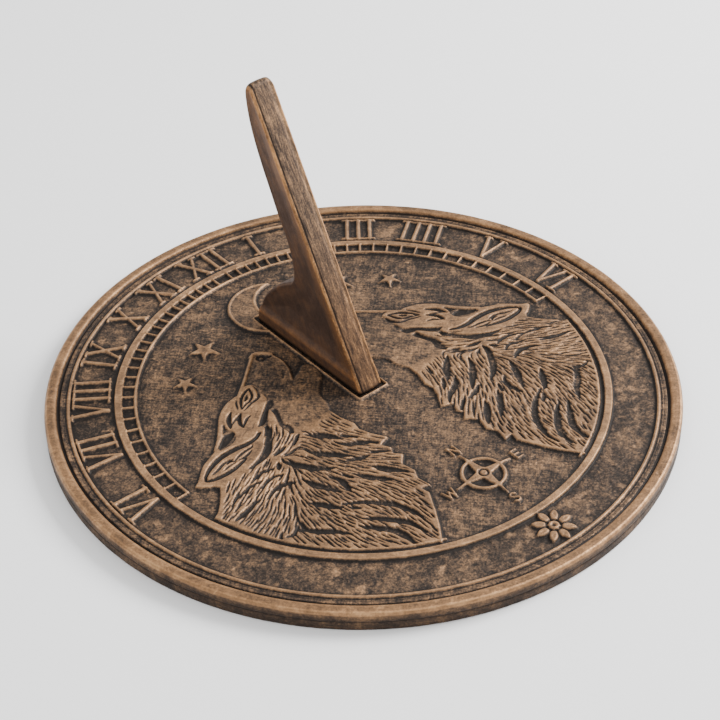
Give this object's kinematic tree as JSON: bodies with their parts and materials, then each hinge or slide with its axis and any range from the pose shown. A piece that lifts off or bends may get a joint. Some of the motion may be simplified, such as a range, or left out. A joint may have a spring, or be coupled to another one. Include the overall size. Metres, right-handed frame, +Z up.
{
  "type": "garden sundial",
  "caption": "Round cast garden sundial with Roman numerals, a howling wolf medallion with moon, stars and compass rose, and a tall triangular gnomon.",
  "frame": {"origin": "centre of the underside, on the resting plane", "axes": "+Z up; +Y is north, towards the numeral XII; +X is east, the afternoon side; the gnomon stands in the YZ plane"},
  "size_m": [0.252, 0.252, 0.1195],
  "materials": {
    "bronze_plate": "antique bronze patina, dark in the recesses and rubbed to light copper on the relief",
    "bronze_gnomon": "antique bronze patina, streaked along the style, rubbed bright on its edges",
    "screw_brass": "dull turned brass",
    "washer_steel": "zinc plated spring steel"
  },
  "bodies": {
    "root": {"dial_plate": "bronze_plate", "gnomon": "bronze_gnomon", "south_screw": "screw_brass", "north_screw": "screw_brass", "south_lock_washer": "washer_steel", "north_lock_washer": "washer_steel"}
  },
  "joints": []
}
